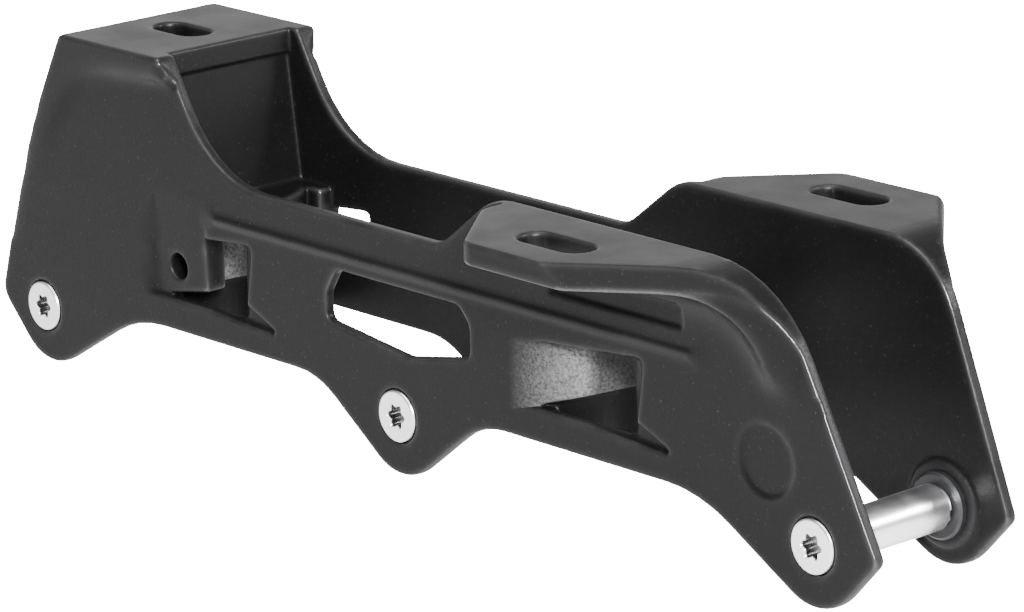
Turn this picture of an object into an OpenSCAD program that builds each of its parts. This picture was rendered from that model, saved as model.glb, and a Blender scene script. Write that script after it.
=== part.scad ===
// Inline skate frame for three wheels, cast in one piece, with its three axles.
// X runs from heel to toe, Y from the head side of the axles to the threaded side, Z up.
// The frame stands on the tips of its walls, so Z is 0 there.

/* [Wheelbase] */
// Distance between neighbouring axles
axle_pitch = 101; // [99:0.5:103]
// Reach of the frame past the front axle
front_reach = 14.4; // [13.6:0.2:15.4]
// Reach of the frame past the rear axle
rear_reach = 13; // [12:0.5:14]
// Depth of the wall tips below the axle line
tip_depth = 10.6; // [10:0.1:11.5]

/* [Walls] */
// Width over the outer faces of the two walls
frame_w = 33.4; // [33:0.1:35]
// Thickness of a wall
wall_t = 2.4; // [2.2:0.1:2.8]
// Height of the walls' lower edge above the axle line, between the wheels
belly_z = 3.1; // [2:0.1:4]
// Height of the walls' upper edge above the axle line, between heel and pads
waist_z = 33.4; // [32.5:0.1:35]
// Radius of the bead along the outer face
bead_r = 1.1; // [0.9:0.1:1.4]
// How far the bead stands out
bead_out = 0.5; // [0.3:0.1:0.7]

/* [Heel platform] */
// Height of the heel platform above the axle line
heel_z = 54.5; // [53:0.5:57]
// Thickness of the heel platform
heel_t = 4.5; // [4:0.1:5]
// Width of the heel platform at its rear edge
heel_rear_w = 35; // [34.4:0.1:36]
// Width of the heel platform at its front edge
heel_front_w = 37.4; // [36.6:0.1:39]
// Distance from the middle axle back to the heel slot's centre
heel_slot_back = 77; // [75:0.5:79]
// Length of the heel slot
heel_slot_l = 13; // [11:0.2:15]

/* [Front pads] */
// Height of the pads above the axle line
pad_z = 43.8; // [42:0.2:45]
// Thickness of a pad
pad_t = 4; // [3.4:0.1:4.6]
// Distance from the middle plane to a pad's outer edge
pad_reach = 38; // [37:0.2:39.4]
// Distance from the middle plane to a pad's slot
pad_slot_out = 27.4; // [26:0.2:28.5]
// Distance from the middle axle forward to the near pad's slot
near_slot_x = 53.5; // [52:0.5:55]
// Distance from the middle axle forward to the far pad's slot
far_slot_x = 67; // [65.5:0.5:68.5]
// Length of a pad's slot
pad_slot_l = 15.6; // [13:0.2:17.6]
// Width of every mounting slot
slot_w = 6.5; // [6.2:0.1:7.4]

/* [Wheel bays] */
// Largest wheel diameter with its running room
wheel_room_d = 92; // [91:0.2:93]
// Distance from an axle to the front of the bulkhead before it
bulkhead_front = 49; // [48.4:0.1:49.8]
// Height of the bulkheads' tops above the axle line
bulkhead_top = 26; // [25:0.2:27]

/* [Axles] */
// Diameter of an axle's shank
shank_d = 8; // [7.8:0.1:8.2]
// Diameter of an axle's head
head_d = 9.4; // [9.2:0.1:9.8]
// Thickness of an axle's head
head_t = 2; // [1.8:0.1:2.2]
// Diameter of an axle's threaded end
thread_d = 6.9; // [6.5:0.1:7]
// Gap between the faces that a wheel's bearings run between
bearing_gap = 24.4; // [24:0.1:24.8]
// Diameter of the hole for the brake bolt
brake_hole_d = 4.8; // [4.4:0.1:5.4]

/* [Hidden] */
$fn = 64;

// Fits
run_clear = 0.05;
press_clear = 0.03;
head_clear = 0.15;
seat_clear = 0.05;
past = 1;

// Colours
cast_black = [0.11, 0.11, 0.12];
axle_silver = [0.8, 0.8, 0.82];
insert_steel = [0.32, 0.32, 0.34];

// Main planes, with X from the middle axle and Z from the axle line
rear_x = -axle_pitch;
front_x = axle_pitch;
rear_end = rear_x - rear_reach;
front_end = front_x + front_reach;
outer_y = frame_w / 2;
inner_y = outer_y - wall_t;
NEAR = -1;
FAR = 1;

// Outline of the walls
tip_r = 10.4;
tip_corner = tip_depth + 2.6;
heel_rear_x = rear_x + 10.5;
heel_front_x = -61.5;
heel_bend = [rear_x - 4.4, 29.5];
heel_scoop_x = -49.2;
heel_scoop_r = 24;
belly_corner_r = 17;
long_flank_r = 30;
pad_rise_back = 28;
pad_rise_foot_back = 41.4;
near_nose_x = 92.6;
far_nose_x = 98.6;
near_nose_r = 25;
far_nose_r = 16;

// Openings in the walls
window_corners = [
    [-15.5, 23.5, 2.5], [16.5, 23.5, 2.5], [19.3, 20.5, 2.5], [19.3, 14.5, 1.5],
    [3, 11.3, 4], [-18.4, 13.8, 1.5], [-18.4, 18.8, 2.5]
];
bay_base = 9.2;
bay_ramp_in = 57.2;
bay_ramp_out = 63;
bay_corners = [
    [33.4, 20.8, 1], [62.3, 23.3, 1.2], [60.4, 12, 2], [61.4, bay_base, 0.5], [33.4, bay_base, 1]
];
far_bay_base = 12.4;
bay_groove_corners = [[48, bay_base, 0.3], [60.4, 12, 2], [70, 8, 0.4]];
bay_groove_depth = 1.2;
panel_front = 48.5;
panel_back = 32;
panel_slope = 2.4;
panel_base = 11.9;
panel_top = 29;
panel_depth = 1;
panel_boss_in = 11.3;
panel_pocket_back = 35;
panel_pocket_depth = 3;
brake_hole_at = [40.3, 15.3];

// Bare recesses on the outer faces
plate_recess = [31.8, 4.3, 0.6];
plate_recess_back = 13.8;
plate_recess_z = 30.3;
disc_recess_d = 12.4;
disc_recess_depth = 0.5;
disc_recess_at = [90.6, 12.1];

// Bead along the outer face
bead_z = 26.3;
bead_rear = -51;
bead_front = 76;

// Heel
flare_foot = 28;
arch_corners = [[-55, 50.2, 1], [-86.5, 48.8, 22], [-103, 26, 14], [-108, 5, 1], [-55, 5, 1]];
heel_notch = 1.8;
heel_wall_x = heel_front_x - 6;
heel_wall_t = 3;
heel_wall_lean = 4;

// Pads
pad_rear_in = 25;
pad_rear_knee = 21.5;
pad_rear_out = 11.5;
pad_front_out = 12;
near_flank = [7, 37];
far_flank = [10.9, 47];
flank_tilt = 50;
flange_foot = 24;
flange_top = 16.4;
near_flange = [[32.5, 22.5], [45, 16.6]];
far_flange = [[28.5, 20], [34, 16.6]];
pad_corner_r = 4;
pad_fillet_r = 9;

// Bulkheads
bulkhead_r = outer_y - 0.1;
bulkhead_x = bulkhead_front - bulkhead_r;
skirt_in = 1.8;
skirt_base = belly_z - 0.6;
lip_z = 7.9;
lip_slope = 15.5;
tread_r = 12.9;

// Axle seats
boss_d = 14.8;
boss_face = inner_y - 0.8;
collar_d = 11.6;
insert_d = 10;
seat_y = bearing_gap / 2;
chamfer = 0.6;
socket_depth = 1.7;
socket_lobe_r = 0.62;
socket_lobe_at = 1.55;
head_proud = 0.2;
head_face = -outer_y - head_proud;
head_seat = head_face + head_t;

// Points of the arc that rounds the corner b between its neighbours a and c
function unit(v) = v / norm(v);
function turn(u, v) = u.x * v.y - u.y * v.x;
function arc_points(centre, r, from, sweep) = [
    for (i = [0 : max(1, ceil(abs(sweep) / 9))])
        let (t = from + sweep * i / max(1, ceil(abs(sweep) / 9)))
        centre + r * [cos(t), sin(t)]
];
function corner_centre(a, b, c, r) =
    let (
        u = unit(a - b),
        v = unit(c - b)
    )
    b + unit(u + v) * r / sin(acos(u * v) / 2);
function corner_arc(a, b, c, r) =
    let (
        u = unit(a - b),
        v = unit(c - b),
        half = acos(u * v) / 2,
        centre = corner_centre(a, b, c, r),
        start = b + u * r / tan(half) - centre,
        sweep = (180 - 2 * half) * sign(turn(u, v)) * -1
    )
    arc_points(centre, r, atan2(start.y, start.x), sweep);
function plan(p) = [p.x, p.y];
function rounded(corners) = [
    for (i = [0 : len(corners) - 1])
        let (
            n = len(corners),
            before = plan(corners[(i + n - 1) % n]),
            after = plan(corners[(i + 1) % n])
        )
        each corner_arc(before, plan(corners[i]), after, corners[i][2])
];

// Corners of a wall's outline, each with its radius
function wall_corners(slot_x, nose_x, nose_r) = [
    [heel_rear_x, heel_z, 1.5],
    [heel_bend.x, heel_bend.y, 60],
    [rear_end, 0.6, 4],
    [rear_x + 0.2, -tip_corner, tip_r],
    [rear_x + 28, belly_z, long_flank_r],
    [-21.5, belly_z, belly_corner_r],
    [1, -tip_corner, tip_r],
    [21.8, belly_z, belly_corner_r],
    [front_x - 26, belly_z, long_flank_r],
    [front_x + 2.4, -tip_corner, tip_r],
    [front_end, 0, 1.5],
    [nose_x, pad_z, nose_r],
    [slot_x - pad_rise_back, pad_z, 10],
    [slot_x - pad_rise_foot_back, waist_z, 8],
    [heel_scoop_x, waist_z, heel_scoop_r],
    [heel_front_x, heel_z, 1]
];

// The part's frame: its origin is under the middle of the length, at the lowest point of the tips
outline_points = rounded(wall_corners(near_slot_x, near_nose_x, near_nose_r));
outline_x = [for (p = outline_points) p.x];
outline_z = [for (p = outline_points) p.y];
x_shift = -(min(outline_x) + max(outline_x)) / 2;
z_shift = -min(outline_z);

// A flat outline in X and Z, made solid from one Y to the next
module slab(y_from, y_to) {
    translate([0, y_to, 0])
        rotate([90, 0, 0])
            linear_extrude(y_to - y_from)
                children();
}

// The same solid on the given side, its two Y values counted out from the middle plane
module side_slab(side, y_in, y_out) {
    slab(min(side * y_in, side * y_out), max(side * y_in, side * y_out))
        children();
}

// A cylinder along Y from one Y to the next
module y_rod(d, y_from, y_to) {
    translate([0, y_from, 0])
        rotate([-90, 0, 0])
            cylinder(d = d, h = y_to - y_from);
}

// A slot with round ends, along X, cut straight down
module slot_cut(length, depth) {
    straight = length - slot_w;
    translate([0, 0, -depth - past]) {
        for (end = [-1, 1])
            translate([end * straight / 2, 0, 0])
                cylinder(d = slot_w, h = depth + 2 * past);
        translate([-straight / 2, -slot_w / 2, 0])
            cube([straight, slot_w, depth + 2 * past]);
    }
}

module wall_outline(side) {
    slot_x = side == NEAR ? near_slot_x : far_slot_x;
    nose_x = side == NEAR ? near_nose_x : far_nose_x;
    nose_r = side == NEAR ? near_nose_r : far_nose_r;
    polygon(rounded(wall_corners(slot_x, nose_x, nose_r)));
}

// A bay opening, which starts higher in the far wall
module bay_opening(side) {
    intersection() {
        polygon(rounded(bay_corners));
        translate([0, side == NEAR ? bay_base : far_bay_base])
            square([axle_pitch, waist_z]);
    }
}

// One wall, with its window and its two bay openings
module wall(side) {
    side_slab(side, inner_y, outer_y)
        difference() {
            wall_outline(side);
            polygon(rounded(window_corners));
            bay_opening(side);
            translate([rear_x, 0])
                intersection() {
                    bay_opening(side);
                    translate([panel_front, 0])
                        square([axle_pitch, waist_z]);
                }
        }
}

// The hollow that holds the brake bolt's panel: it deepens downwards and opens into the rear bay
module brake_panel_hollow(side) {
    height = panel_top - bay_base;
    translate([rear_x, 0, 0])
        intersection() {
            side_slab(side, inner_y, outer_y + past)
                polygon(rounded([
                    [panel_back, bay_base, 2], [panel_pocket_back, bay_base, 0.1],
                    [panel_front + past, panel_base, 0.1], [panel_front + past, panel_top, 0.1],
                    [panel_back, panel_top, 0.1]
                ]));
            translate([0, side * outer_y, panel_top])
                rotate([-side * atan(panel_depth / height), 0, 0])
                    translate([0, 0, -2 * height])
                        linear_extrude(2 * height)
                            scale([1, side])
                                polygon([
                                    [panel_back, past], [panel_back, panel_depth], [panel_back + panel_slope, 0],
                                    [panel_front + past, 0], [panel_front + past, past]
                                ]);
        }
}

// The pocket under the brake panel's lower edge
module brake_panel_pocket(side) {
    side_slab(side, outer_y - panel_pocket_depth, outer_y + past)
        translate([rear_x, 0])
            polygon([
                [panel_pocket_back, bay_base], [panel_front + past, bay_base], [panel_front + past, panel_base],
                [panel_front, panel_base]
            ]);
}

// The block behind the brake panel, which carries it on the rear bulkhead
module brake_boss(side) {
    translate([rear_x, 0, 0])
        difference() {
            side_slab(side, panel_boss_in, inner_y + past)
                polygon([
                    [panel_pocket_back, bay_base], [panel_front, panel_base],
                    [panel_front, bulkhead_top], [panel_pocket_back, bulkhead_top]
                ]);
            wheel_room();
        }
}

// The sloping front face of a bay opening, which narrows it inwards
module bay_ramp(side) {
    translate([0, 0, bay_base - past])
        linear_extrude(bead_z - bay_base)
            polygon([
                [bay_ramp_in, side * inner_y], [bay_ramp_out, side * inner_y], [bay_ramp_out, side * outer_y]
            ]);
}

module bead(side) {
    translate([bead_rear, side * (outer_y + bead_out - bead_r), bead_z])
        rotate([0, 90, 0])
            cylinder(r = bead_r, h = bead_front - bead_rear);
}

// Room for a wheel with a round tread, about an axle
module wheel_room() {
    rotate([90, 0, 0])
        rotate_extrude($fn = 128)
            intersection() {
                union() {
                    translate([wheel_room_d / 2 - tread_r, 0])
                        circle(r = tread_r);
                    translate([0, -tread_r])
                        square([wheel_room_d / 2 - tread_r, 2 * tread_r]);
                }
                translate([0, -tread_r - past])
                    square([wheel_room_d, 2 * (tread_r + past)]);
            }
}

// A half-round upright in front of an axle, seen from above
module half_round(r) {
    intersection() {
        translate([bulkhead_x, 0])
            circle(r = r, $fn = 128);
        translate([bulkhead_x - 3, -frame_w / 2])
            square([frame_w, frame_w]);
    }
}

// The round bulkhead in front of an axle, with a lip that rises inwards over its skirt
module bulkhead() {
    difference() {
        union() {
            difference() {
                linear_extrude(bulkhead_top)
                    half_round(bulkhead_r);
                translate([bulkhead_x - 3, -frame_w, lip_z])
                    rotate([0, -lip_slope, 0])
                        translate([-bulkhead_r, 0, -frame_w])
                            cube([2 * frame_w, 2 * frame_w, frame_w]);
            }
            translate([0, 0, skirt_base])
                linear_extrude(bulkhead_top - skirt_base - past)
                    half_round(bulkhead_r - skirt_in);
        }
        wheel_room();
    }
}

// The wall under the heel platform's front edge, leaning forward to the rear bulkhead
module heel_bulkhead() {
    difference() {
        slab(-inner_y - past, inner_y + past)
            polygon([
                [heel_wall_x, heel_z - heel_t / 2],
                [heel_wall_x + heel_wall_t, heel_z - heel_t / 2],
                [heel_wall_x + heel_wall_t + heel_wall_lean, bulkhead_top - heel_wall_t],
                [heel_wall_x, bulkhead_top - heel_wall_t]
            ]);
        translate([rear_x, 0, 0])
            wheel_room();
    }
}

module heel_plan() {
    polygon([
        [heel_rear_x, -heel_rear_w / 2], [heel_front_x, -heel_front_w / 2],
        [heel_front_x, heel_front_w / 2], [heel_rear_x, heel_rear_w / 2]
    ]);
}

module heel_platform() {
    difference() {
        translate([0, 0, heel_z - heel_t])
            linear_extrude(heel_t)
                difference() {
                    heel_plan();
                    translate([heel_front_x - heel_notch, -inner_y])
                        square([2 * heel_notch, 2 * inner_y]);
                }
        translate([-heel_slot_back, 0, heel_z])
            slot_cut(heel_slot_l, heel_t);
    }
}

// The flare from a wall's outer face to the edge of the heel platform, above the arched panel
module heel_flare(side) {
    flare_out = heel_front_w / 2 - outer_y;
    difference() {
        intersection() {
            side_slab(side, inner_y, outer_y + 2 * flare_out)
                intersection() {
                    wall_outline(side);
                    translate([rear_end, 0])
                        square([heel_front_x - rear_end + 6, heel_z + past]);
                }
            translate([rear_end - past, 0, 0])
                rotate([90, 0, 90])
                    linear_extrude(2 * axle_pitch)
                        polygon([
                            [side * inner_y, flare_foot], [side * outer_y, flare_foot],
                            [side * (outer_y + flare_out), heel_z], [side * inner_y, heel_z]
                        ]);
        }
        side_slab(side, outer_y, outer_y + 3 * flare_out)
            polygon(rounded(arch_corners));
    }
}

// A front pad seen from above, with the flange that runs out along the nose
module pad_plan(side) {
    flange = side == NEAR ? near_flange : far_flange;
    scale([1, side])
        polygon(rounded([
            [-pad_rear_in, inner_y, 0.1], [-pad_rear_in, pad_rear_knee, pad_corner_r],
            [-pad_rear_out, pad_reach, pad_corner_r], [pad_front_out, pad_reach, pad_corner_r],
            [flange[0].x, flange[0].y, 20], [flange[1].x, flange[1].y, 0.1], [flange[1].x, inner_y, 0.1]
        ]));
}

// A pad's section, out from the middle plane and down from its top, with the fillet that carries it
module pad_section() {
    depth = pad_t + pad_fillet_r;
    difference() {
        translate([inner_y, -depth])
            square([pad_reach, depth + past]);
        translate([outer_y + pad_fillet_r, -depth - past])
            square([pad_reach, pad_fillet_r + past]);
        translate([outer_y + pad_fillet_r, -depth])
            circle(r = pad_fillet_r);
    }
}

// The pad's section along the top edge and then round the nose, where it dies away downwards
module pad_sweep(side, centre, nose_r) {
    rotate([90, 0, 90])
        linear_extrude(centre.x)
            scale([side, 1])
                translate([0, pad_z])
                    pad_section();
    intersection() {
        translate([centre.x, 0, centre.y])
            rotate([-side * 90, 0, 0])
                rotate_extrude($fn = 128)
                    translate([nose_r, 0])
                        mirror([1, -1])
                            pad_section();
        translate([centre.x, 0, 0])
            rotate([90, 0, 90])
                linear_extrude(axle_pitch)
                    scale([side, 1])
                        polygon([
                            [inner_y, flange_foot], [outer_y, flange_foot],
                            [outer_y + flange_top, pad_z], [inner_y, pad_z]
                        ]);
    }
}

// The slope that takes the top edge off a pad's front corner
module pad_flank(side) {
    flank = side == NEAR ? near_flank : far_flank;
    reach = 3 * pad_reach;
    translate([flank[0], side * pad_reach, pad_z])
        rotate([0, 0, -side * flank[1]])
            rotate([-side * flank_tilt, 0, 0])
                translate([-reach / 2, side == NEAR ? -reach : 0, 0])
                    cube(reach);
}

// A front pad, with its fillet and its flange
module pad(side) {
    slot_x = side == NEAR ? near_slot_x : far_slot_x;
    nose_x = side == NEAR ? near_nose_x : far_nose_x;
    nose_r = side == NEAR ? near_nose_r : far_nose_r;
    centre = corner_centre([slot_x, pad_z], [nose_x, pad_z], [front_end, 0], nose_r);
    difference() {
        intersection() {
            translate([slot_x, 0, 0])
                linear_extrude(pad_z)
                    pad_plan(side);
            side_slab(side, inner_y - past, pad_reach + past)
                wall_outline(side);
            pad_sweep(side, centre, nose_r);
        }
        translate([slot_x, side * pad_slot_out, pad_z])
            slot_cut(pad_slot_l, pad_t);
        translate([slot_x, 0, 0])
            pad_flank(side);
    }
}

// The bosses round one axle, on the inner faces of both walls
module axle_bosses() {
    y_rod(boss_d, -inner_y - past, -boss_face);
    y_rod(collar_d, -inner_y - past, -seat_y);
    y_rod(boss_d, boss_face, inner_y + past);
}

// The bores for one axle and its insert
module axle_bores() {
    y_rod(shank_d + 2 * run_clear, -outer_y - past, -seat_y + past);
    y_rod(head_d + 2 * head_clear, -outer_y - past, head_seat);
    y_rod(insert_d, boss_face - past, outer_y + past);
}

// The bare recesses on one wall's outer face
module recesses(side) {
    slot_x = side == NEAR ? near_slot_x : far_slot_x;
    brake_panel_hollow(side);
    brake_panel_pocket(side);
    for (x = [rear_x, 0])
        side_slab(side, outer_y - bay_groove_depth, outer_y + past)
            translate([x, 0])
                polygon(rounded(bay_groove_corners));
    side_slab(side, outer_y - plate_recess.z, outer_y + pad_fillet_r)
        translate([slot_x - plate_recess_back, plate_recess_z])
            square([plate_recess.x, plate_recess.y]);
    side_slab(side, outer_y - disc_recess_depth, outer_y + past)
        translate(disc_recess_at)
            circle(d = disc_recess_d);
}

module at_axles() {
    for (x = [rear_x, 0, front_x])
        translate([x, 0, 0])
            children();
}

// Puts a piece in the part's own frame
module placed() {
    translate([x_shift, 0, z_shift])
        children();
}

module frame_casting() {
    color(cast_black)
        placed()
            difference() {
                union() {
                    for (side = [NEAR, FAR]) {
                        wall(side);
                        bay_ramp(side);
                        translate([rear_x, 0, 0])
                            bay_ramp(side);
                        brake_boss(side);
                        bead(side);
                        heel_flare(side);
                        pad(side);
                    }
                    bulkhead();
                    translate([rear_x, 0, 0])
                        bulkhead();
                    heel_bulkhead();
                    heel_platform();
                    at_axles()
                        axle_bosses();
                }
                at_axles()
                    axle_bores();
                for (side = [NEAR, FAR])
                    recesses(side);
                translate([rear_x + brake_hole_at.x, 0, brake_hole_at.y])
                    y_rod(brake_hole_d, -frame_w, frame_w);
            }
}

// An axle: a head with a six-lobe socket, a chamfered shank and a threaded end
module axle(x) {
    thread_end = outer_y - 2 * head_proud;
    color(axle_silver)
        placed()
            translate([x, 0, 0])
                difference() {
                    union() {
                        y_rod(head_d, head_face, head_seat);
                        y_rod(shank_d, head_seat, seat_y - chamfer);
                        translate([0, seat_y - chamfer, 0])
                            rotate([-90, 0, 0])
                                cylinder(d1 = shank_d, d2 = thread_d, h = chamfer - seat_clear);
                        y_rod(thread_d, seat_y - chamfer, thread_end);
                    }
                    y_rod(2 * socket_lobe_at, head_face - past, head_face + socket_depth);
                    for (turn_angle = [0 : 60 : 300])
                        rotate([0, turn_angle, 0])
                            translate([socket_lobe_at, 0, 0])
                                y_rod(2 * socket_lobe_r, head_face - past, head_face + socket_depth);
                }
}

// A thread insert, with its collar on the inner side of the far wall
module insert(x) {
    color(insert_steel)
        placed()
            translate([x, 0, 0])
                difference() {
                    union() {
                        y_rod(collar_d, seat_y, boss_face);
                        y_rod(insert_d - 2 * press_clear, seat_y, outer_y);
                    }
                    y_rod(thread_d + 2 * run_clear, seat_y - past, outer_y + past);
                }
}

module axle_front() { axle(front_x); }
module axle_middle() { axle(0); }
module axle_rear() { axle(rear_x); }
module insert_front() { insert(front_x); }
module insert_middle() { insert(0); }
module insert_rear() { insert(rear_x); }

frame_casting();
axle_front();
axle_middle();
axle_rear();
insert_front();
insert_middle();
insert_rear();
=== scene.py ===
# %% [markdown]
# # An inline skate frame, cast in one piece
# The object is the frame under an inline skate: one die casting in satin black, three bright steel axles
# and the thread inserts that they screw into. The solids already give every size and every place, so this
# lesson only dresses them: it rounds the casting as a mould does, turns the steel and lights a small studio.

import math

import bmesh
import bpy
import numpy as np
import openvdb
from mathutils import Matrix, Vector
from mathutils.kdtree import KDTree


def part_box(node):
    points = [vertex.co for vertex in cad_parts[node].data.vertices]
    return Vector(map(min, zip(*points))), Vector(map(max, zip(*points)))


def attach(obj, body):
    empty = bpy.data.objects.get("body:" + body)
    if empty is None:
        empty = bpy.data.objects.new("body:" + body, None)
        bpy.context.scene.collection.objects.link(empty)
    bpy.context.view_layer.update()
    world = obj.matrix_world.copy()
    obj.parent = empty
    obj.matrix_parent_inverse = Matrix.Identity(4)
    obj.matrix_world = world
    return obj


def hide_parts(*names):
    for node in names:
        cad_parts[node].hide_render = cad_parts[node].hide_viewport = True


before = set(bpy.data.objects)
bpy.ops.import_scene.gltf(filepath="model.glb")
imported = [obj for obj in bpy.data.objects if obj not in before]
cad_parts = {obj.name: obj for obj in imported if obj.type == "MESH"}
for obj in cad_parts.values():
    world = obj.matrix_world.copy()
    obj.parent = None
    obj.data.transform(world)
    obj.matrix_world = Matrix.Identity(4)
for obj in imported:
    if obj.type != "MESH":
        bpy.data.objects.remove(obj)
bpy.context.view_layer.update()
MM = 0.001

# %% [markdown]
# ## The camera
# The photograph was taken from in front of the toe, a little above the frame and with a long lens. Its place
# was fitted on the axle heads, the walls and the platform, so the same matrix gives the same picture here.
# Three unit vectors say where the picture's right, its lower edge and the line of sight point.

# %% Place the camera
CAMERA_AT = (0.63735, -0.56788, 0.27174)
RIGHT = Vector((0.67555, 0.73710, -0.01781))
DOWN = Vector((0.19150, -0.19874, -0.96116))
SIGHT = Vector((-0.71201, 0.64590, -0.27542))
camera_data = bpy.data.cameras.new("studio_camera")
camera_data.sensor_width = 36
camera_data.lens = 177.67
camera = bpy.data.objects.new("studio_camera", camera_data)
bpy.context.scene.collection.objects.link(camera)
turn = Matrix((RIGHT, -DOWN, -SIGHT)).transposed().to_4x4()
camera.matrix_world = Matrix.Translation(CAMERA_AT) @ turn
bpy.context.scene.camera = camera
print("lens", camera_data.lens)

# %% [markdown]
# ## Helpers for plain meshes
# Every finished piece is a plain mesh that sits at the origin, with its place in its own points. One helper
# makes an object from a mesh, and one freezes what the modifiers show into a mesh, so none stays live.


# %% Make and freeze meshes
def piece_of(mesh, name):
    piece = bpy.data.objects.new(name, mesh)
    bpy.context.scene.collection.objects.link(piece)
    return piece


def freeze(piece):
    shown = piece.evaluated_get(bpy.context.evaluated_depsgraph_get())
    mesh = bpy.data.meshes.new_from_object(shown)
    piece.modifiers.clear()
    piece.data = mesh
    mesh.polygons.foreach_set("use_smooth", [True] * len(mesh.polygons))


def triangles(mesh):
    return sum(len(polygon.vertices) - 2 for polygon in mesh.polygons)


# %% [markdown]
# ## Node helpers
# A material is a small graph. These helpers add a node with its values, set one socket and start a group with its
# own sockets, so that the graphs below read as lists of what each surface has.


# %% Add nodes
def add(tree, kind, **values):
    node = tree.nodes.new(kind)
    for name, value in values.items():
        if name in node.inputs:
            node.inputs[name].default_value = value
        else:
            setattr(node, name, value)
    return node


def put(node, socket, value):
    node.inputs[socket].default_value = value


def new_group(name, inputs, outputs):
    tree = bpy.data.node_groups.new(name, "ShaderNodeTree")
    for label, kind, value in inputs:
        socket = tree.interface.new_socket(name=label, in_out="INPUT", socket_type=kind)
        if value is not None:
            socket.default_value = value
    for label, kind in outputs:
        tree.interface.new_socket(name=label, in_out="OUTPUT", socket_type=kind)
    return tree, tree.nodes.new("NodeGroupInput"), tree.nodes.new("NodeGroupOutput")


# %% [markdown]
# ## Grain that all three finishes share
# Sand-fine grain breaks up the gloss of the coat, of the steel and of the inserts. It is one group with a size
# in metres and three outputs: a height for the bump, a slow cloud that varies the colour and the gloss, and a
# few specks of dust.

# %% Build the grain group
grain, grain_in, grain_out = new_group(
    "surface_grain",
    [
        ("Place", "NodeSocketVector", None),
        ("Size", "NodeSocketFloat", 0.6 * MM),
        ("Cloud Size", "NodeSocketFloat", 20 * MM),
    ],
    [("Height", "NodeSocketFloat"), ("Cloud", "NodeSocketFloat"), ("Specks", "NodeSocketFloat")],
)
fine_scale = add(grain, "ShaderNodeMath", operation="DIVIDE")
fine_scale.inputs[0].default_value = 1
cloud_scale = add(grain, "ShaderNodeMath", operation="DIVIDE")
cloud_scale.inputs[0].default_value = 1
fine = add(grain, "ShaderNodeTexNoise", Detail=3, Roughness=0.6)
cloud = add(grain, "ShaderNodeTexNoise", Detail=2, Roughness=0.5)
grain.links.new(grain_in.outputs["Size"], fine_scale.inputs[1])
grain.links.new(grain_in.outputs["Cloud Size"], cloud_scale.inputs[1])
for texture, scale in ((fine, fine_scale), (cloud, cloud_scale)):
    grain.links.new(grain_in.outputs["Place"], texture.inputs["Vector"])
    grain.links.new(scale.outputs[0], texture.inputs["Scale"])
SPECK_FROM, SPECK_FULL = 0.66, 0.76
rare = add(grain, "ShaderNodeMapRange")
put(rare, "From Min", SPECK_FROM)
put(rare, "From Max", SPECK_FULL)
grain.links.new(fine.outputs["Fac"], rare.inputs["Value"])
grain.links.new(rare.outputs["Result"], grain_out.inputs["Specks"])
grain.links.new(fine.outputs["Fac"], grain_out.inputs["Height"])
grain.links.new(cloud.outputs["Fac"], grain_out.inputs["Cloud"])
print("group", grain.name)

# %% [markdown]
# ## Rubbed and highlighted edges
# Hands and boots rub the coat along sharp edges first, so those lines are a little lighter and glossier; the lighter
# colour also stands in part for a painted highlight where the lamps catch the rounded edges. The mesh carries an
# attribute that says how sharply it bends outwards; this group breaks that line up with the grain's cloud, so it
# isn't an even stripe. The sharpest edges get a thin gloss too, so the lamps glint on them.

# %% Build the edge group
# This mask lightens sharp edges: partly wear, partly painted highlight.
edge_wear_highlight, edge_wear_highlight_in, edge_wear_highlight_out = new_group(
    "edge_wear_and_highlight",
    [("Bend", "NodeSocketFloat", 0.0), ("Cloud", "NodeSocketFloat", 0.5), ("Amount", "NodeSocketFloat", 0.6)],
    [("Mask", "NodeSocketFloat")],
)
broken = add(edge_wear_highlight, "ShaderNodeMapRange")
put(broken, "From Min", 0.3)
put(broken, "From Max", 0.65)
put(broken, "To Min", 0.45)
wear_highlight_times = add(edge_wear_highlight, "ShaderNodeMath", operation="MULTIPLY")
wear_highlight_amount = add(edge_wear_highlight, "ShaderNodeMath", operation="MULTIPLY", use_clamp=True)
edge_wear_highlight.links.new(edge_wear_highlight_in.outputs["Cloud"], broken.inputs["Value"])
edge_wear_highlight.links.new(edge_wear_highlight_in.outputs["Bend"], wear_highlight_times.inputs[0])
edge_wear_highlight.links.new(broken.outputs["Result"], wear_highlight_times.inputs[1])
edge_wear_highlight.links.new(wear_highlight_times.outputs[0], wear_highlight_amount.inputs[0])
edge_wear_highlight.links.new(edge_wear_highlight_in.outputs["Amount"], wear_highlight_amount.inputs[1])
edge_wear_highlight.links.new(wear_highlight_amount.outputs[0], edge_wear_highlight_out.inputs["Mask"])
print("group", edge_wear_highlight.name)

# %% [markdown]
# ## Painted light and shade in the bays
# The round bulkheads stand deep in the mould, where the coat is thin and the casting's own grain shows. Above their
# lip
# they are painted light and sandy: partly that coarse grain, and partly painted light on the part of the curve that
# the lamps reach. Below the lip they are dark and smooth, which is painted shade. Only a bulkhead, and the strip of
# wall that it runs into, lies at that distance from its upright axis, so the mask needs only the place: how far a
# point is from the axis, and whether it is above the sloping lip. The painted light comes in and goes out softly
# along the curve, so the group has inputs for how far ahead of the axis it starts, is full, begins to fade and ends,
# and for its amount.
# A little of it stays past its end. One group serves both bulkheads, each with its own axis.

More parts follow.
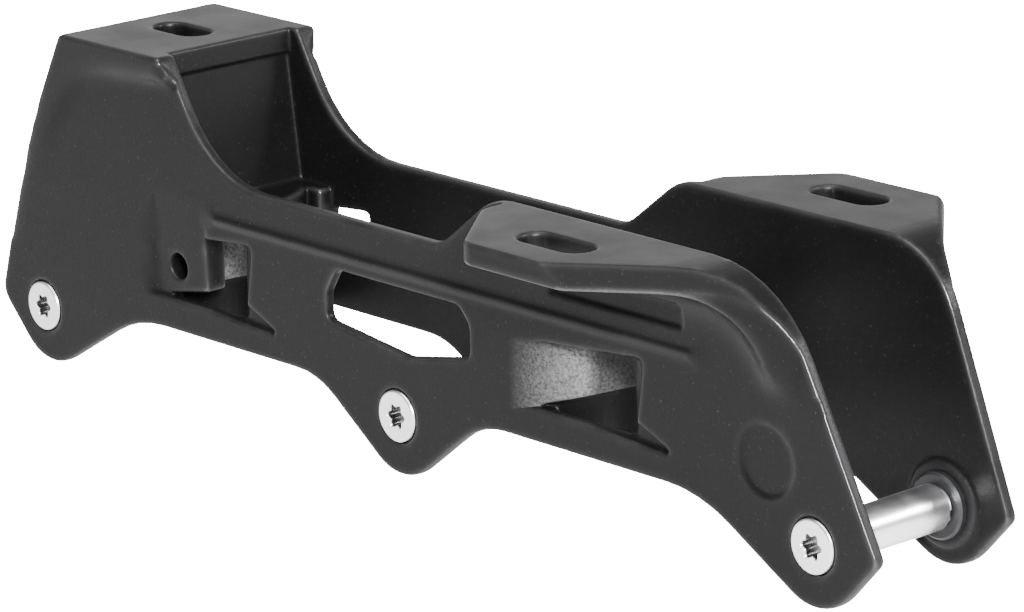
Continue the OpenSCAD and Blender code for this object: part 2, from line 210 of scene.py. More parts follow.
# %% Build the bay group
BULKHEAD_AHEAD, BULKHEAD_R, SKIRT_R = 32.4 * MM, 16.6 * MM, 14.8 * MM
WALL_FACE, BAY_FOOT, BAY_TOP = 16.75 * MM, -0.2 * MM, 19.8 * MM
BAY_REST, BAY_FADE = 0.26, 1.5 * MM
BAND_INSET, BAND_HALF, LIP_OVER, SKIRT_FROM = 0.3 * MM, 0.9 * MM, 0.2 * MM, 0.5 * MM
LIP_FOOT_BACK, LIP_FOOT_UP, LIP_SLOPE = 3.0 * MM, 7.9 * MM, math.tan(math.radians(15.5))
bay, bay_in, bay_out = new_group(
    "bay_lit_skin_and_shade",
    [("Place", "NodeSocketVector", None)]
    + [(label, "NodeSocketFloat", 0.0) for label in ("Axis X", "Axle Z", "Start", "Full", "Fade", "End", "Amount")],
    [("Above", "NodeSocketFloat"), ("Below", "NodeSocketFloat")],
)


# %% Arithmetic inside the bay group
def bay_feed(socket, value):
    if isinstance(value, (int, float)):
        socket.default_value = value
    else:
        bay.links.new(value, socket)


def bay_math(operation, first, second):
    node = add(bay, "ShaderNodeMath", operation=operation)
    bay_feed(node.inputs[0], first)
    bay_feed(node.inputs[1], second)
    return node.outputs[0]


def bay_ramp(value, none, full):
    node = add(bay, "ShaderNodeMapRange")
    for socket, number in (("Value", value), ("From Min", none), ("From Max", full)):
        bay_feed(node.inputs[socket], number)
    return node.outputs["Result"]


def bay_band(value, middle, half):
    return bay_math("LESS_THAN", bay_math("ABSOLUTE", bay_math("SUBTRACT", value, middle), 0), half)


def bay_all(*masks):
    product = masks[0]
    for mask in masks[1:]:
        product = bay_math("MULTIPLY", product, mask)
    return product


# %% Tell the lit skin from the painted shade
apart = add(bay, "ShaderNodeSeparateXYZ")
bay.links.new(bay_in.outputs["Place"], apart.inputs[0])
ahead = bay_math("SUBTRACT", apart.outputs["X"], bay_in.outputs["Axis X"])
away = bay_math("SQRT", bay_math("ADD", bay_math("POWER", ahead, 2), bay_math("POWER", apart.outputs["Y"], 2)), 0)
height = bay_math("SUBTRACT", apart.outputs["Z"], bay_in.outputs["Axle Z"])
inside = bay_math("LESS_THAN", bay_math("ABSOLUTE", apart.outputs["Y"], 0), WALL_FACE)
lip_line = bay_math("ADD", bay_math("MULTIPLY", ahead, LIP_SLOPE), LIP_FOOT_UP + LIP_FOOT_BACK * LIP_SLOPE)
up = bay_math("SUBTRACT", height, lip_line)
coming = bay_ramp(ahead, bay_in.outputs["Start"], bay_in.outputs["Full"])
going = bay_math("MAXIMUM", bay_ramp(ahead, bay_in.outputs["End"], bay_in.outputs["Fade"]), BAY_REST)
under_top = bay_ramp(height, BAY_TOP + BAY_FADE, BAY_TOP)
on_lip = bay_all(bay_band(away, BULKHEAD_R - BAND_INSET, BAND_HALF), bay_math("GREATER_THAN", up, -LIP_OVER))
# Above the lip: the lighter skin, partly the casting's grain and partly painted light.
above_lip = bay_all(on_lip, inside, coming, going, under_top, bay_in.outputs["Amount"])
on_skirt = bay_all(bay_band(away, SKIRT_R, BAND_HALF), bay_math("LESS_THAN", up, 0))
on_front = bay_math("GREATER_THAN", ahead, SKIRT_FROM)
over_foot = bay_math("GREATER_THAN", height, BAY_FOOT)
# Below the lip: painted shade.
below_lip = bay_all(on_skirt, inside, on_front, over_foot)
bay.links.new(above_lip, bay_out.inputs["Above"])
bay.links.new(below_lip, bay_out.inputs["Below"])
print("group", bay.name, "lip slope", round(LIP_SLOPE, 3))

# %% [markdown]
# ## The three finishes
# The casting has a satin black coat over a blasted skin. The axles are turned bright, so their gloss runs in
# fine rings round them. The inserts are oxidised black. Each finish takes its colours and its bump from the
# groups above, and keeps its own shader.


# %% Start a finish
def new_finish(name, metallic):
    material = bpy.data.materials.new(name)
    material.use_nodes = True
    tree = material.node_tree
    shader = tree.nodes["Principled BSDF"]
    put(shader, "Metallic", metallic)
    place = add(tree, "ShaderNodeTexCoord").outputs["Object"]
    return material, tree, shader, place


def place_grain(tree, place, size, cloud_size):
    node = add(tree, "ShaderNodeGroup", node_tree=grain)
    put(node, "Size", size)
    put(node, "Cloud Size", cloud_size)
    tree.links.new(place, node.inputs["Place"])
    return node


# %% Join colours and values
def mixed(tree, factor, first, second):
    mix = add(tree, "ShaderNodeMix", data_type="RGBA")
    tree.links.new(factor, mix.inputs[0])
    for socket, colour in ((mix.inputs[6], first), (mix.inputs[7], second)):
        if isinstance(colour, tuple):
            socket.default_value = (*colour, 1)
        else:
            tree.links.new(colour, socket)
    return mix.outputs[2]


def summed(tree, first, second):
    node = add(tree, "ShaderNodeMath", operation="ADD", use_clamp=True)
    tree.links.new(first, node.inputs[0])
    tree.links.new(second, node.inputs[1])
    return node.outputs[0]


def ranged(tree, value, low, high, to_low, to_high):
    node = add(tree, "ShaderNodeMapRange")
    for socket, number in (("From Min", low), ("From Max", high), ("To Min", to_low), ("To Max", to_high)):
        put(node, socket, number)
    tree.links.new(value, node.inputs["Value"])
    return node.outputs["Result"]


def bumped(tree, shader, height, distance, strength):
    node = add(tree, "ShaderNodeBump", Distance=distance, Strength=strength)
    tree.links.new(height, node.inputs["Height"])
    tree.links.new(node.outputs["Normal"], shader.inputs["Normal"])


# %% Satin black coat
# Where the painted light on each bulkhead comes in, is full, fades and ends, and how strong it is.
BAY_REACH = {"middle": (-3.0, 10.6, 11.2, 13.4, 1.0), "rear": (12.4, 13.4, 20, 21, 0.6)}
coat, tree, shader, place = new_finish("satin_black_coat", 0.0)
put(shader, "Specular IOR Level", 0.112)
coat_grain = place_grain(tree, place, 0.5 * MM, 12 * MM)
bend = add(tree, "ShaderNodeAttribute", attribute_name="outer_bend").outputs["Fac"]
wear_and_highlight = add(tree, "ShaderNodeGroup", node_tree=edge_wear_highlight)
# The rubbed mask lightens sharp edges: partly wear, partly painted highlight.
put(wear_and_highlight, "Amount", 0.1)
tree.links.new(bend, wear_and_highlight.inputs["Bend"])
tree.links.new(coat_grain.outputs["Cloud"], wear_and_highlight.inputs["Cloud"])
above, below = [], []
for where, (*reach, amount) in BAY_REACH.items():
    low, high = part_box(f"axle_{where}")
    node = add(tree, "ShaderNodeGroup", node_tree=bay)
    put(node, "Axis X", (low.x + high.x) / 2 + BULKHEAD_AHEAD)
    put(node, "Axle Z", (low.z + high.z) / 2)
    put(node, "Amount", amount)
    for socket, distance in zip(("Start", "Full", "Fade", "End"), reach):
        put(node, socket, distance * MM)
    tree.links.new(place, node.inputs["Place"])
    above.append(node.outputs["Above"])
    below.append(node.outputs["Below"])
# The first sum is the lighter bulkhead skin, partly grain and partly painted light; the second is painted shade
# under the lip.
lit_skin, shade = summed(tree, *above), summed(tree, *below)
print("coat", coat.name, "with", len(above), "bays")

# %% Colour and gloss of the coat
sand = ranged(tree, coat_grain.outputs["Height"], 0.3, 0.7, 0, 1)
flat_coat = mixed(tree, coat_grain.outputs["Cloud"], (0.0025, 0.0025, 0.0027), (0.0040, 0.0040, 0.0042))
# Lighter sandy colour on the bulkheads: partly the casting's grain, partly painted light.
lit_thin_coat = mixed(tree, sand, (0.03, 0.03, 0.03), (0.16, 0.16, 0.16))
lit_skin_coat = mixed(tree, lit_skin, flat_coat, lit_thin_coat)
# Dark colour under the bulkheads' lip: painted shade.
shaded_coat = mixed(tree, shade, lit_skin_coat, (0.003, 0.003, 0.003))
dusty_coat = mixed(tree, coat_grain.outputs["Specks"], shaded_coat, (0.03, 0.03, 0.031))
# Lighter colour along sharp edges: partly wear, partly painted highlight.
wear_and_highlight_coat = mixed(tree, wear_and_highlight.outputs["Mask"], dusty_coat, (0.30, 0.30, 0.31))
tree.links.new(wear_and_highlight_coat, shader.inputs["Base Color"])
satin = ranged(tree, coat_grain.outputs["Cloud"], 0.3, 0.7, 0.34, 0.42)
for mask, change in ((lit_skin, 0.2), (wear_and_highlight.outputs["Mask"], -1.0)):
    changed = add(tree, "ShaderNodeMath", operation="MULTIPLY_ADD")
    changed.inputs[1].default_value = change
    tree.links.new(mask, changed.inputs[0])
    tree.links.new(satin, changed.inputs[2])
    satin = changed.outputs[0]
tree.links.new(satin, shader.inputs["Roughness"])
tree.links.new(ranged(tree, bend, 0.4, 0.9, 0, 1), shader.inputs["Coat Weight"])
put(shader, "Coat Roughness", 0.18)
bumped(tree, shader, coat_grain.outputs["Height"], 0.05 * MM, 0.6)
print("coat", len(tree.nodes), "nodes")

# %% Bright turned steel
steel, tree, shader, place = new_finish("bright_turned_steel", 1.0)
steel_grain = place_grain(tree, place, 0.3 * MM, 6 * MM)
turning = add(tree, "ShaderNodeTexWave", wave_type="BANDS", bands_direction="Y", Scale=900, Distortion=0.4)
tree.links.new(place, turning.inputs["Vector"])
# The socket's rings are marked for painted shade in the recess.
socket_painted_shade = add(tree, "ShaderNodeAttribute", attribute_name="socket_painted_shade").outputs["Fac"]
clean_steel = mixed(tree, steel_grain.outputs["Cloud"], (0.88, 0.88, 0.89), (0.92, 0.92, 0.93))
# The socket's rings get a dark steel colour as painted shade.
tree.links.new(mixed(tree, socket_painted_shade, clean_steel, (0.20, 0.20, 0.20)), shader.inputs["Base Color"])
tree.links.new(ranged(tree, steel_grain.outputs["Cloud"], 0.3, 0.7, 0.26, 0.33), shader.inputs["Roughness"])
bumped(tree, shader, turning.outputs["Fac"], 0.01 * MM, 0.3)
print("steel", len(tree.nodes), "nodes")

# %% Black oxide
oxide, tree, shader, place = new_finish("black_oxide", 0.7)
oxide_grain = place_grain(tree, place, 0.3 * MM, 4 * MM)
dark_steel = mixed(tree, oxide_grain.outputs["Cloud"], (0.022, 0.022, 0.024), (0.036, 0.036, 0.038))
tree.links.new(dark_steel, shader.inputs["Base Color"])
tree.links.new(ranged(tree, oxide_grain.outputs["Cloud"], 0.3, 0.7, 0.3, 0.42), shader.inputs["Roughness"])
bumped(tree, shader, oxide_grain.outputs["Height"], 0.02 * MM, 0.4)
print("finishes", coat.name, steel.name, oxide.name)

# %% [markdown]
# ## The casting
# A casting has no sharp edge: metal flows round a small radius everywhere, and fills a small fillet in every
# corner. Bevels on a mesh with hundreds of cut faces tend to fail, so the solid is turned into a grid of small
# cubes, each of which holds its distance from the surface. Blurring those distances leaves flat faces where they
# are, and rounds edges and fills corners by the same radius. The surface is then where the distance is nought.


# %% Read a mesh into arrays
def point_values(mesh, name):
    values = np.empty(len(mesh.vertices) * 3)
    mesh.vertices.foreach_get(name, values)
    return values.reshape(-1, 3)


def triangle_points(mesh):
    mesh.calc_loop_triangles()
    corners = np.empty(len(mesh.loop_triangles) * 3, np.int32)
    mesh.loop_triangles.foreach_get("vertices", corners)
    return corners.reshape(-1, 3)


# %% Measure the distances
CUBE, BAND, SAME_POINT = 0.30 * MM, 6, 0.001 * MM
cast_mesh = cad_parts["frame_casting"].data.copy()
merge = bmesh.new()
merge.from_mesh(cast_mesh)
bmesh.ops.remove_doubles(merge, verts=merge.verts, dist=SAME_POINT)
merge.to_mesh(cast_mesh)
merge.free()
cubes = openvdb.createLinearTransform(voxelSize=CUBE)
distances = openvdb.FloatGrid.createLevelSetFromPolygons(
    point_values(cast_mesh, "co").astype(np.float32),
    triangles=triangle_points(cast_mesh).astype(np.uint32),
    transform=cubes,
    halfWidth=BAND,
)
first_cube, last_cube = distances.evalActiveVoxelBoundingBox()
field = np.empty([last - first + 1 for first, last in zip(first_cube, last_cube)], np.float32)
distances.copyToArray(field, ijk=first_cube)
print("cubes", field.shape, "deepest", round(float(field.min()) / MM, 2), "mm")

# %% Blur them and rebuild the surface
BLUR, BLUR_REACH = 0.33 * MM, 3.2
reach = round(BLUR_REACH * BLUR / CUBE)
shares = np.exp(-0.5 * (np.arange(-reach, reach + 1) * CUBE / BLUR) ** 2)
shares /= shares.sum()
for axis in range(3):
    edges = [(reach, reach) if side == axis else (0, 0) for side in range(3)]
    padded = np.moveaxis(np.pad(field, edges, mode="edge"), axis, 0)
    size = field.shape[axis]
    blurred = sum(np.float32(share) * padded[step:step + size] for step, share in enumerate(shares))
    field = np.ascontiguousarray(np.moveaxis(blurred, 0, axis))
rounded = openvdb.FloatGrid(BAND * CUBE)
rounded.transform = cubes
rounded.copyFromArray(field, ijk=first_cube)
points, quads = rounded.convertToQuads(isovalue=0.0)
cast_mesh = bpy.data.meshes.new("casting")
cast_mesh.from_pydata(points.tolist(), [], quads.tolist())
casting = piece_of(cast_mesh, "casting")
print("casting", len(points), "points", len(quads), "quads")

# %% Turn the faces outwards and soften them
CAST_PASSES = 2
turned = bmesh.new()
turned.from_mesh(casting.data)
if turned.calc_volume(signed=True) < 0:
    bmesh.ops.reverse_faces(turned, faces=turned.faces)
turned.to_mesh(casting.data)
print("volume", round(turned.calc_volume(signed=True) / MM ** 3), "cubic mm")
turned.free()
soften = casting.modifiers.new("soften", "SMOOTH")
soften.factor = 0.5
soften.iterations = CAST_PASSES
freeze(casting)
print("casting", triangles(casting.data), "triangles")

# %% [markdown]
# ## Softer places
# Under the pads' noses, round the arched panel of the heel and at the ends of the bead, the real casting has no
# edge at all: one face rolls into the next. A vertex group marks those places, each a ball with a soft rim or a
# row of such balls. It also marks the rolls from the pads' tops down into the noses, which are the points whose
# normals lean forwards but not sideways. A second smoothing works there alone.

# %% List the softer places
AXLE_LINE = (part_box("axle_middle")[0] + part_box("axle_middle")[1]) / 2
BALLS_BETWEEN, BALL_CORE = 6, 1.6
SOFT_BALLS = [(-51, 17, 26.3, 3), (76, 17, 26.3, 3), (-70, 16.5, 13, 5), (-69, 16.5, 22, 5)]
SOFT_PATHS = [
    [(74, 24, 37, 4), (80, 20, 34, 6.5), (86, 18.5, 31, 6.5), (93, 18, 26, 6.5), (98, 17.5, 21, 6)],
    [(-106, 17, 12, 5), (-103, 17, 24, 5), (-97.5, 18, 34, 5), (-91, 18.5, 43, 5), (-86.5, 19, 46.5, 4.5),
     (-81, 19, 48.5, 4.5), (-75, 19, 49.2, 4.5), (-69, 19, 49.6, 4), (-64, 19, 49.8, 3.5), (-60, 18.5, 50.5, 3)],
]
ROLL_FROM, ROLL_ABOVE = 75.5, 30
LEAN_AHEAD, LEAN_UP, ROLL_CORE, SIDEWAYS = 0.02, 0.05, 1.2, 10
for path in SOFT_PATHS:
    for first, last in zip(path, path[1:]):
        SOFT_BALLS += np.linspace(first, last, BALLS_BETWEEN).tolist()


def softness(mesh, balls):
    points = (point_values(mesh, "co") - (AXLE_LINE.x, 0, AXLE_LINE.z)) / MM
    points[:, 1] = np.abs(points[:, 1])
    soft = np.zeros(len(points))
    for x, y, z, radius in balls:
        gaps = np.linalg.norm(points - (x, y, z), axis=1)
        soft = np.maximum(soft, np.clip(BALL_CORE - BALL_CORE * gaps / radius, 0, 1))
    lean = point_values(mesh, "normal")
    leaning = (lean[:, 0] > LEAN_AHEAD) & (lean[:, 2] > LEAN_UP)
    on_roll = leaning & (points[:, 0] > ROLL_FROM) & (points[:, 2] > ROLL_ABOVE)
    return np.maximum(soft, on_roll * np.clip(ROLL_CORE - SIDEWAYS * np.abs(lean[:, 1]), 0, 1))


soft_places = softness(casting.data, SOFT_BALLS)
print("balls", len(SOFT_BALLS), "softer points", int((soft_places > 0).sum()), "of", len(soft_places))

# %% Soften them
SOFT_PASSES, WEIGHTS = 260, 10
group = casting.vertex_groups.new(name="soft_places")
for step in range(1, WEIGHTS + 1):
    chosen = np.nonzero(np.round(soft_places * WEIGHTS) == step)[0]
    group.add(chosen.tolist(), step / WEIGHTS, "REPLACE")
roll = casting.modifiers.new("roll", "SMOOTH")
roll.factor = 0.5
roll.iterations = SOFT_PASSES
roll.vertex_group = "soft_places"
freeze(casting)
casting.vertex_groups.clear()
print("softened with", SOFT_PASSES, "passes")

# %% [markdown]
# ## How sharply the casting bends
# On a convex edge a point stands proud of the middle of its neighbours. That distance, along the point's own
# normal and set against the squared length of the edges there, tells how sharp the edge is: 0 on a flat wall, and
# 1 where the radius is 0.8 mm or less. The values are averaged a few times with their neighbours, so that they
# don't follow the single small cubes.


# %% Measure the outer bend
def edges_of(mesh):
    edges = np.empty(len(mesh.edges) * 2, int)
    mesh.edges.foreach_get("vertices", edges)
    return edges.reshape(-1, 2)


def neighbour_sum(edges, values, size):
    first, second = edges.T
    return np.bincount(first, values[second], size) + np.bincount(second, values[first], size)


def outer_bend(points, normals, edges, full_bend, passes):
    size = len(points)
    count = np.maximum(neighbour_sum(edges, np.ones(size), size), 1)
    middle = np.stack([neighbour_sum(edges, points[:, axis], size) / count for axis in range(3)], 1)
    span = ((points[edges[:, 0]] - points[edges[:, 1]]) ** 2).sum(1)
    reach = (np.bincount(edges[:, 0], span, size) + np.bincount(edges[:, 1], span, size)) / count
    bends = 2 * ((points - middle) * normals).sum(1) / np.maximum(reach, 1e-12) / full_bend
    for step in range(passes):
        bends = (bends + neighbour_sum(edges, bends, size) / count) / 2
    return np.clip(bends, 0, 1)


# %% Keep the dense casting's bends
SHARP_R, BEND_PASSES = 0.8 * MM, 4
dense_points, dense_normals = point_values(casting.data, "co"), point_values(casting.data, "normal")
dense_edges = edges_of(casting.data)
dense_bends = outer_bend(dense_points, dense_normals, dense_edges, 1 / SHARP_R, BEND_PASSES)
print("points on edges", int((dense_bends > 0.5).sum()), "of", len(dense_bends))

# %% [markdown]
# ## Fewer triangles, the same shading
# The small cubes leave far more triangles than flat walls need, so most are taken away. What must stay is the rim
# where a flat face meets a rounding: if a large triangle of the wall reached into the rounding, the shading would
# run out over the wall. So the points of that rim aren't in the group that may be thinned. The thinning weighs
# each step against 1, far more than these small faces measure, so the casting is enlarged for it. Then each point
# takes the normal and the bend of the nearest dense point, because uneven triangles shade badly by themselves.

# %% Thin out the casting
MOST_TRIANGLES, FLAT, ENLARGE = 196000, math.cos(math.radians(0.6)), 20000
flat_edge = (dense_normals[dense_edges[:, 0]] * dense_normals[dense_edges[:, 1]]).sum(1) > FLAT
flat_point = np.ones(len(dense_points), bool)
flat_point[dense_edges[~flat_edge].ravel()] = False
rim = flat_point & (neighbour_sum(dense_edges, (~flat_point).astype(float), len(dense_points)) > 0)
group = casting.vertex_groups.new(name="may_thin")
group.add(np.nonzero(~rim)[0].tolist(), 1, "REPLACE")
share = MOST_TRIANGLES / triangles(casting.data)
casting.data.transform(Matrix.Scale(ENLARGE, 4))
fewer = casting.modifiers.new("fewer", "DECIMATE")
fewer.ratio = min(1, share)
fewer.vertex_group = "may_thin"
freeze(casting)
casting.vertex_groups.clear()
casting.data.transform(Matrix.Scale(1 / ENLARGE, 4))
casting.data.materials.append(coat)
print("casting", triangles(casting.data), "triangles, kept share", round(share, 3), "points on rims", int(rim.sum()))

# %% Carry the dense shading over
nearest = KDTree(len(dense_points))
for i, point in enumerate(dense_points.tolist()):
    nearest.insert(point, i)
nearest.balance()
source = np.array([nearest.find(point)[1] for point in point_values(casting.data, "co").tolist()])
casting.data.normals_split_custom_set_from_vertices(dense_normals[source].tolist())
layer = casting.data.attributes.new("outer_bend", "FLOAT", "POINT")
layer.data.foreach_set("value", dense_bends[source].astype(np.float32))
print("points", len(source), "of", len(dense_points))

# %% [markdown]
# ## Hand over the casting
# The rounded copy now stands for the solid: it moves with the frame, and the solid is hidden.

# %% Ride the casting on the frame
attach(casting, "frame")
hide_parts("frame_casting")
print(casting.name, "rides on the frame")

# %% [markdown]
# ## Turned pieces
# The axles and the inserts come off a lathe, so each is a stack of rings along Y. A ring has a place and a
# radius at each angle; the radius is the same all round, apart from the socket in an axle's head, where it
# swings six times. Neighbouring rings are joined with four-sided faces.

# %% Stack rings
SIDES, SHARP_ANGLE = 96, math.radians(25)
ANGLES = [2 * math.pi * i / SIDES for i in range(SIDES)]


def six_lobes(angle, middle=1.86, swing=0.31):
    return middle + swing * math.cos(6 * angle)


def stack_rings(name, centre, rings, closed):
    points, faces = [], []
    for y, radius in rings:
        for angle in ANGLES:
            r = radius(angle) if callable(radius) else radius
            points.append((centre.x + r * MM * math.cos(angle), y * MM, centre.z + r * MM * math.sin(angle)))
    count = len(rings)
    last = count if closed else count - 1
    for i in range(last):
        for k in range(SIDES):
            a, b = i * SIDES + k, i * SIDES + (k + 1) % SIDES
            c, d = (i + 1) % count * SIDES + (k + 1) % SIDES, (i + 1) % count * SIDES + k
            faces.append((a, b, c, d))
    if not closed:
        faces.append(tuple(range(SIDES))[::-1])
        faces.append(tuple(range((count - 1) * SIDES, count * SIDES)))
    mesh = bpy.data.meshes.new(name)
    mesh.from_pydata(points, [], faces)
    tidy = bmesh.new()
    tidy.from_mesh(mesh)
    bmesh.ops.recalc_face_normals(tidy, faces=tidy.faces)
    tidy.to_mesh(mesh)
    tidy.free()
    mesh.polygons.foreach_set("use_smooth", [True] * len(mesh.polygons))
    mesh.set_sharp_from_angle(angle=SHARP_ANGLE)
    return piece_of(mesh, name)


def axle_line(node):
    low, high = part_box(node)
    return (low + high) / 2


# %% [markdown]
# ## The axles
# Each axle has a thin round head with a six-lobe socket, a smooth shank that the bearings sit on, a shoulder
# that stops against the insert, and a threaded end. The sizes are the solid's own, with small chamfers added.
# An attribute marks the socket's rings, and the steel is painted dark there: painted shade in the recess.

# %% Turn the axles
HEAD_R, HEAD_THICK, SHANK_R, ROOT_R, CENTRE_R = 4.7, 2.0, 4.0, 3.05, 0.6
SOCKET_DEPTH, SOCKET_RINGS, CHAMFER, END_CHAMFER = 1.7, 3, 0.35, 0.4
PLACES = ("front", "middle", "rear")


def axle_rings(face, high, shoulder):
    seat = face + HEAD_THICK
    return [
        (face + SOCKET_DEPTH, CENTRE_R), (face + SOCKET_DEPTH, six_lobes),
        (face + 0.25, six_lobes), (face, lambda angle: six_lobes(angle) + 0.22),
        (face, HEAD_R - CHAMFER), (face + 0.12, HEAD_R - 0.12), (face + CHAMFER, HEAD_R), (seat, HEAD_R),
        (seat, SHANK_R + 0.1), (seat + 0.1, SHANK_R),
        (shoulder - 0.65, SHANK_R), (shoulder - 0.15, 3.5), (shoulder - 0.1, ROOT_R),
        (high - END_CHAMFER, ROOT_R), (high, ROOT_R - END_CHAMFER), (high, CENTRE_R),
    ]


for where in PLACES:
    node = f"axle_{where}"
    low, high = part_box(node)
    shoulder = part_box(f"insert_{where}")[0].y
    rings = axle_rings(low.y / MM, high.y / MM, shoulder / MM)
    axle = stack_rings(f"turned_{node}", axle_line(node), rings, False)
    axle.data.materials.append(steel)
    # Marks the socket's rings for the painted shade.
    socket_shade_layer = axle.data.attributes.new("socket_painted_shade", "FLOAT", "POINT")
    socket_shade_layer.data.foreach_set("value", [1.0] * (SOCKET_RINGS * SIDES) + [0.0] * ((len(rings) - SOCKET_RINGS) * SIDES))
    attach(axle, f"{where}_axle")
    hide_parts(node)
    print(axle.name, triangles(axle.data))

# %% [markdown]
# ## The thread
# A thread is one ridge that climbs round the end of the axle. It follows a path, so nodes make it: a spiral
# curve of so many turns carries a small diamond section along it, and the section's lower half is sunk in the
# axle. The tree has its sizes as inputs, and each axle gets its own frozen copy.

# %% Build the thread tree
PITCH, RIDGE, THREAD_FROM, THREAD_SHORT = 0.9 * MM, 0.4 * MM, 0.5 * MM, 0.4 * MM
thread_tree = bpy.data.node_groups.new("axle_thread", "GeometryNodeTree")
for label, kind, value in (
    ("Turns", "NodeSocketFloat", 4.0), ("Radius", "NodeSocketFloat", ROOT_R * MM),
    ("Pitch", "NodeSocketFloat", PITCH), ("Ridge", "NodeSocketFloat", RIDGE),
    ("Place", "NodeSocketVector", None), ("Finish", "NodeSocketMaterial", None),
):
    socket = thread_tree.interface.new_socket(name=label, in_out="INPUT", socket_type=kind)
    if value is not None:
        socket.default_value = value
thread_tree.interface.new_socket(name="Geometry", in_out="OUTPUT", socket_type="NodeSocketGeometry")
sizes = thread_tree.nodes.new("NodeGroupInput")
result = thread_tree.nodes.new("NodeGroupOutput")
climb = add(thread_tree, "ShaderNodeMath", operation="MULTIPLY")
spiral = add(thread_tree, "GeometryNodeCurveSpiral", Resolution=48)
section = add(thread_tree, "GeometryNodeCurvePrimitiveCircle", mode="RADIUS", Resolution=4)
sweep = thread_tree.nodes.new("GeometryNodeCurveToMesh")
put(sweep, "Fill Caps", True)
lay = thread_tree.nodes.new("GeometryNodeTransform")
put(lay, "Rotation", (-math.pi / 2, 0, 0))
realize = thread_tree.nodes.new("GeometryNodeRealizeInstances")
paint = thread_tree.nodes.new("GeometryNodeSetMaterial")
print("thread nodes", len(thread_tree.nodes))

# %% Join the thread's nodes
for start, end in (
    (sizes.outputs["Turns"], climb.inputs[0]), (sizes.outputs["Pitch"], climb.inputs[1]),
    (sizes.outputs["Turns"], spiral.inputs["Rotations"]), (sizes.outputs["Radius"], spiral.inputs["Start Radius"]),
    (sizes.outputs["Radius"], spiral.inputs["End Radius"]), (climb.outputs[0], spiral.inputs["Height"]),
    (sizes.outputs["Ridge"], section.inputs["Radius"]), (spiral.outputs["Curve"], sweep.inputs["Curve"]),
    (section.outputs["Curve"], sweep.inputs["Profile Curve"]), (sweep.outputs["Mesh"], lay.inputs["Geometry"]),
    (sizes.outputs["Place"], lay.inputs["Translation"]), (lay.outputs["Geometry"], realize.inputs["Geometry"]),
    (realize.outputs["Geometry"], paint.inputs["Geometry"]), (sizes.outputs["Finish"], paint.inputs["Material"]),
    (paint.outputs["Geometry"], result.inputs["Geometry"]),
):
    thread_tree.links.new(start, end)
THREAD_INPUTS = {item.name: item.identifier for item in thread_tree.interface.items_tree if item.in_out == "INPUT"}
print("thread inputs", sorted(THREAD_INPUTS))

# %% Cut the threads
for where in PLACES:
    low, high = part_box(f"axle_{where}")
    start_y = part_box(f"insert_{where}")[0].y + THREAD_FROM
    line = axle_line(f"axle_{where}")
    thread = piece_of(bpy.data.meshes.new(f"thread_{where}"), f"thread_{where}")
    grow = thread.modifiers.new("grow", "NODES")
    grow.node_group = thread_tree
    grow[THREAD_INPUTS["Turns"]] = (high.y - THREAD_SHORT - start_y) / PITCH
    grow[THREAD_INPUTS["Place"]] = (line.x, start_y, line.z)
    grow[THREAD_INPUTS["Finish"]] = steel
    freeze(thread)
    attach(thread, f"{where}_axle")
    print(thread.name, triangles(thread.data))

# %% [markdown]
# ## The inserts
# An insert is a short steel sleeve with a collar against the inner boss. Its bore is plain here, because the
# axle's own thread fills it. Its rings run down the outside and back up the bore, so the stack closes on itself.

# %% Turn the inserts
INSERT_R, BORE_R, BORE_EASE, EASE = 4.97, 3.5, 0.3, 0.25
COLLAR_R, COLLAR_EASE, COLLAR_THICK = 5.8, 0.45, 1.3


def insert_rings(low, high, collar):
    return [
        (low, BORE_R + BORE_EASE), (low, COLLAR_R - COLLAR_EASE), (low + COLLAR_EASE, COLLAR_R),
        (collar, COLLAR_R), (collar, INSERT_R),
        (high - EASE, INSERT_R), (high, INSERT_R - EASE), (high, BORE_R + EASE), (high - EASE, BORE_R),
        (low + BORE_EASE, BORE_R),
    ]


for where in PLACES:
    node = f"insert_{where}"
    low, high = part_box(node)
    rings = insert_rings(low.y / MM, high.y / MM, low.y / MM + COLLAR_THICK)
    insert = stack_rings(f"turned_{node}", axle_line(node), rings, True)
    insert.data.materials.append(oxide)
    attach(insert, "frame")
    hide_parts(node)
    print(insert.name, triangles(insert.data))

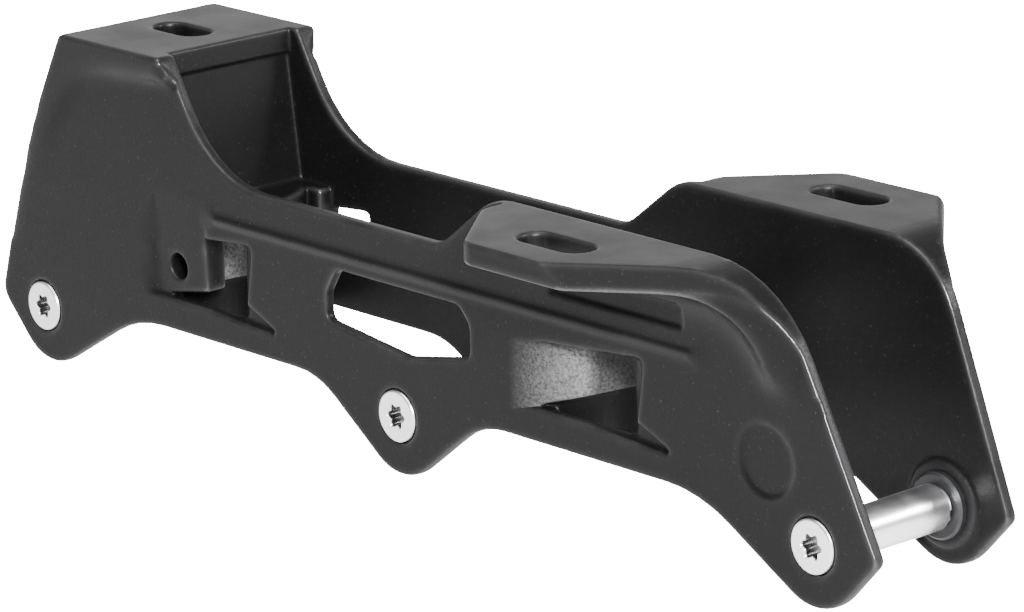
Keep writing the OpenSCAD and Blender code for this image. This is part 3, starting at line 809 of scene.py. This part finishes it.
# %% [markdown]
# ## The studio
# The picture is a plain product shot: white all round, soft light from above, and one lamp beside the camera,
# which draws a bright line along every edge that turns to it. A third lamp behind the heel lights the flat tops
# at a low angle, and a fourth beyond the toe puts a bright band on the bare shank. The floor is only stage: it is
# paper that looks overexposed, as the photograph's ground does, without throwing that glow on the frame.

# %% Lay the floor
FLOOR_HALF, PAPER_GLOW = 6, 30
floor_mesh = bpy.data.meshes.new("studio_floor")
floor_mesh.from_pydata(
    [(x * FLOOR_HALF, y * FLOOR_HALF, 0) for x, y in ((-1, -1), (1, -1), (1, 1), (-1, 1))], [], [(0, 1, 2, 3)]
)
floor = piece_of(floor_mesh, "studio_floor")
paper = bpy.data.materials.new("white_paper")
paper.use_nodes = True
sheet = paper.node_tree.nodes["Principled BSDF"]
put(sheet, "Base Color", (0.92, 0.92, 0.92, 1))
put(sheet, "Roughness", 0.9)
put(sheet, "Emission Color", (1, 1, 1, 1))
seen = add(paper.node_tree, "ShaderNodeLightPath").outputs["Is Camera Ray"]
glow = add(paper.node_tree, "ShaderNodeMath", operation="MULTIPLY")
glow.inputs[1].default_value = PAPER_GLOW
paper.node_tree.links.new(seen, glow.inputs[0])
paper.node_tree.links.new(glow.outputs[0], sheet.inputs["Emission Strength"])
floor_mesh.materials.append(paper)
print("floor", 2 * FLOOR_HALF, "m wide")


# %% Hang the lamps
def soft_lamp(name, at, size, watts, aim=(0, 0, 0.03)):
    data = bpy.data.lights.new(name, "AREA")
    data.size = size
    data.energy = watts
    lamp = bpy.data.objects.new(name, data)
    bpy.context.scene.collection.objects.link(lamp)
    lamp.location = at
    lamp.rotation_euler = (Vector(aim) - Vector(at)).to_track_quat("-Z", "Y").to_euler()
    print(name, watts, "W")


soft_lamp("lamp_above", (0.1, -0.2, 1.2), 0.9, 12)
soft_lamp("lamp_key", (0.95, -0.6, 0.6), 0.26, 62)
soft_lamp("lamp_behind", (-1.1, 1.0, 0.55), 0.7, 2.0)
soft_lamp("lamp_toe", (1.0, 0.9, 0.7), 0.3, 22)
world = bpy.data.worlds.new("white_room")
bpy.context.scene.world = world
world.use_nodes = True
room = world.node_tree.nodes["Background"]
put(room, "Color", (1, 1, 1, 1))
put(room, "Strength", 0.6)
